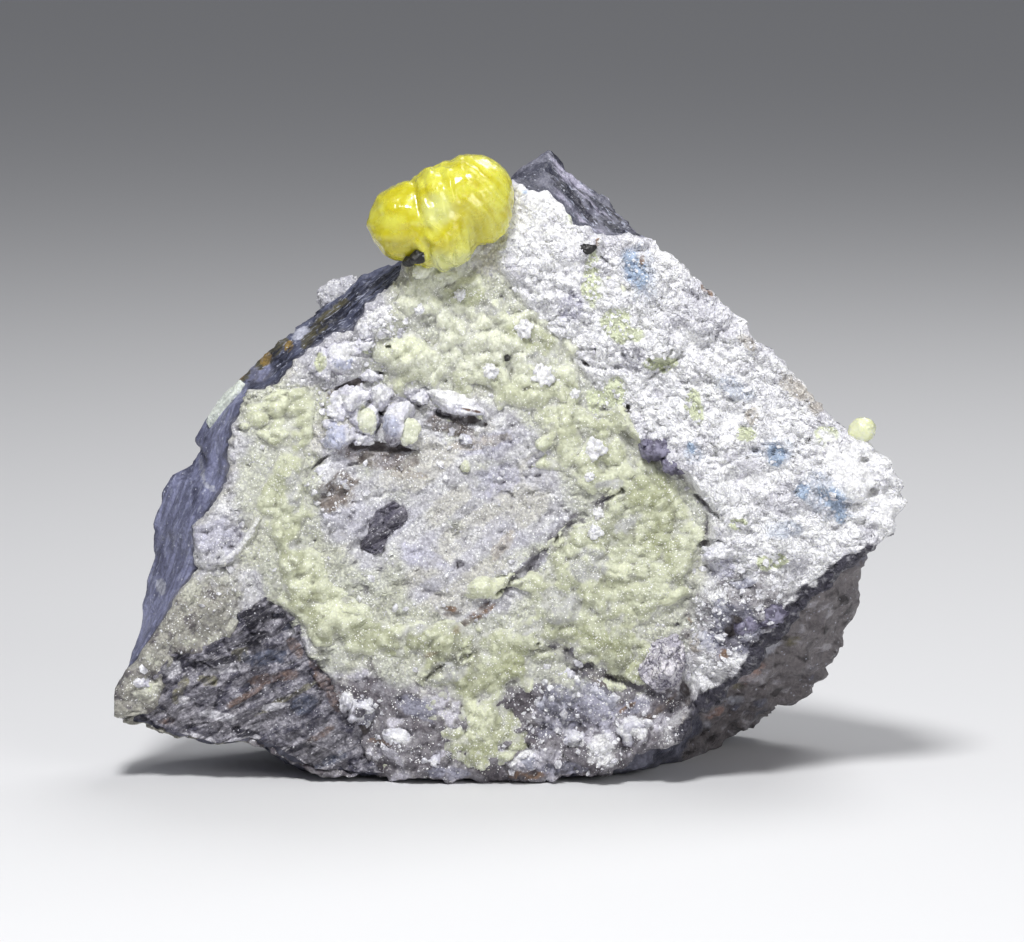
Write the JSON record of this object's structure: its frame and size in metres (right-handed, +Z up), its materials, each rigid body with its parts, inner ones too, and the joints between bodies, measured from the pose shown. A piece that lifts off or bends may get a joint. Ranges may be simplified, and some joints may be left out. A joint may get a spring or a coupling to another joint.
{
  "type": "brucite crystal specimen on matrix",
  "caption": "Broken wedge of dark serpentinite with a white granular and pale green druse crust on its front and a rounded yellow brucite nodule on its top edge.",
  "frame": {"origin": "on the flat broken base, under the middle of the front face's width, at the level that the specimen stands on", "axes": "+Z up, +X to the right seen from the crusted front, +Y from the front to the broken back"},
  "size_m": [0.11, 0.0478, 0.0875],
  "materials": {
    "serpentinite": "satin broken faces with striations",
    "granular_crust": "rough, sugary",
    "druse": "sparkling, finely crystalline",
    "chip": "rough",
    "brucite": "waxy, translucent",
    "bead": "waxy, translucent"
  },
  "bodies": {
    "root": {"matrix_rock": "serpentinite", "granular_crust": "granular_crust", "druse_crust": "druse", "cemented_chip": "chip", "edge_lump": "granular_crust", "edge_flake": "druse", "brucite_nodule": "brucite", "brucite_bead": "bead"}
  },
  "joints": []
}
